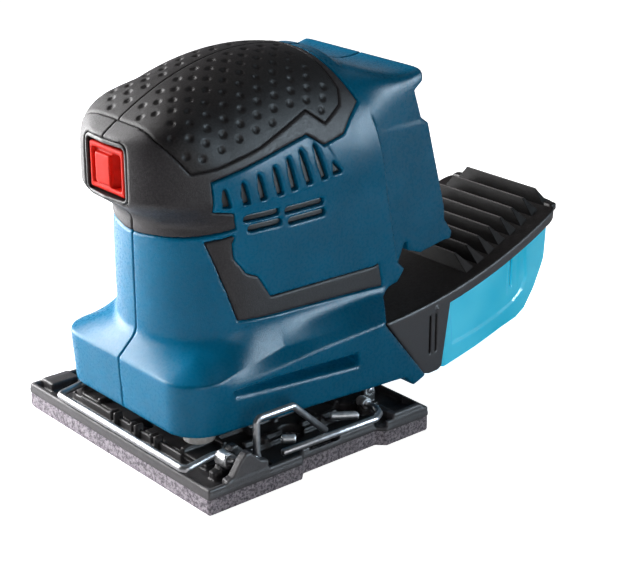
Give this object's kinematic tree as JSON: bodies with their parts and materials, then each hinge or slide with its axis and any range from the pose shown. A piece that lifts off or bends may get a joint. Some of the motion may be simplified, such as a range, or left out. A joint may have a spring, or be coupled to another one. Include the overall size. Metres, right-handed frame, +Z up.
{
  "type": "orbital sander",
  "caption": "Cordless palm sander: soft grip over a motor column, rocker switch, square pad with wire paper clamps, battery dock and clip-on dust box.",
  "frame": {"origin": "centre of the sanding face, the underside of the felt pad", "axes": "+Z up through the motor, the switch faces -Y, the dust box points along +Y, the tool's left side is +X"},
  "size_m": [0.113, 0.2027, 0.141],
  "materials": {
    "blue_plastic": "satin",
    "soft_grip": "matte",
    "graphite_plastic": "matte",
    "black_plastic": "matte",
    "red_plastic": "gloss",
    "motor_steel": "brushed",
    "ferrite": "matte",
    "carbon": "matte",
    "bearing_steel": "ground",
    "die_cast": "cast",
    "laminations": "varnished",
    "copper": "turned",
    "brass_weight": "turned",
    "board": "lacquered",
    "contact_metal": "stamped",
    "leg_rubber": "matte",
    "plate_plastic": "satin",
    "felt": "speckled felt",
    "wire_steel": "polished wire",
    "box_plastic": "satin",
    "filter_paper": "pleated",
    "clear_cyan": "translucent"
  },
  "bodies": {
    "housing": {"housing_left": "blue_plastic", "housing_right": "blue_plastic", "grip_left": "soft_grip", "grip_right": "soft_grip", "grip_pad_left": "soft_grip", "grip_pad_right": "soft_grip", "side_inlay_left": "graphite_plastic", "side_inlay_right": "graphite_plastic", "switch_frame": "graphite_plastic", "switch_body": "black_plastic", "motor_can": "motor_steel", "magnets": "ferrite", "end_bell": "black_plastic", "brushes": "carbon", "upper_bearing": "bearing_steel", "lower_bearing": "bearing_steel", "bearing_plate": "die_cast", "control_board": "board", "terminal_block": "black_plastic", "battery_contacts": "contact_metal", "dust_duct": "black_plastic", "base_cover": "black_plastic", "leg_front_left": "leg_rubber", "leg_front_right": "leg_rubber", "leg_rear_left": "leg_rubber", "leg_rear_right": "leg_rubber", "housing_screws": "bearing_steel"},
    "rotor": {"motor_shaft": "bearing_steel", "armature": "laminations", "commutator": "copper", "fan": "black_plastic", "counterweight": "brass_weight", "spindle_screw": "bearing_steel"},
    "pad": {"base_plate": "plate_plastic", "sanding_pad": "felt", "pad_bearing": "bearing_steel", "clamp_sleeves": "wire_steel"},
    "front_clamp": {"front_clamp": "wire_steel"},
    "rear_clamp": {"rear_clamp": "wire_steel"},
    "rear_lever": {"rear_lever": "wire_steel"},
    "rocker": {"switch_rocker": "red_plastic"},
    "dust_box": {"box_cover": "box_plastic", "box_nozzle": "black_plastic", "microfilter": "filter_paper"},
    "dust_tub": {"dust_tub": "clear_cyan"}
  },
  "joints": [
    {"name": "shaft_spin", "type": "hinge", "parent": "housing", "child": "rotor", "pos_m": [0, 0.0008, 0.06], "axis": [0, 0, 1], "continuous": true},
    {"name": "pad_orbit", "type": "hinge", "parent": "rotor", "child": "pad", "pos_m": [0, 0, 0.016], "axis": [0, 0, 1], "continuous": true},
    {"name": "front_clamp_hinge", "type": "hinge", "parent": "pad", "child": "front_clamp", "pos_m": [0, -0.037, 0.0144], "axis": [-1, 0, 0], "range_deg": [0, 5], "stiffness_Nm_per_rad": 0.5, "springref_deg": -5.73},
    {"name": "rear_lever_hinge", "type": "hinge", "parent": "pad", "child": "rear_lever", "pos_m": [0.042, 0.0316, 0.012], "axis": [-1, 0, 0], "range_deg": [0, 50]},
    {"name": "rear_clamp_hinge", "type": "hinge", "parent": "pad", "child": "rear_clamp", "pos_m": [0, 0.037, 0.0144], "axis": [1, 0, 0], "range_deg": [0, 5]},
    {"name": "rocker_tilt", "type": "hinge", "parent": "housing", "child": "rocker", "pos_m": [0, -0.0443, 0.1076], "axis": [1, 0, 0], "range_deg": [0, 6]},
    {"name": "dust_box_slide", "type": "slide", "parent": "housing", "child": "dust_box", "axis": [0, 1, 0], "range_m": [0, 0.06]},
    {"name": "tub_swing", "type": "hinge", "parent": "dust_box", "child": "dust_tub", "pos_m": [0, 0.0772, 0.0116], "axis": [-1, 0, 0], "range_deg": [0, 12]}
  ],
  "couplings": [
    {"joint": "pad_orbit", "follows": "shaft_spin", "ratio": -1},
    {"joint": "rear_clamp_hinge", "follows": "rear_lever_hinge", "ratio": 0.1}
  ]
}
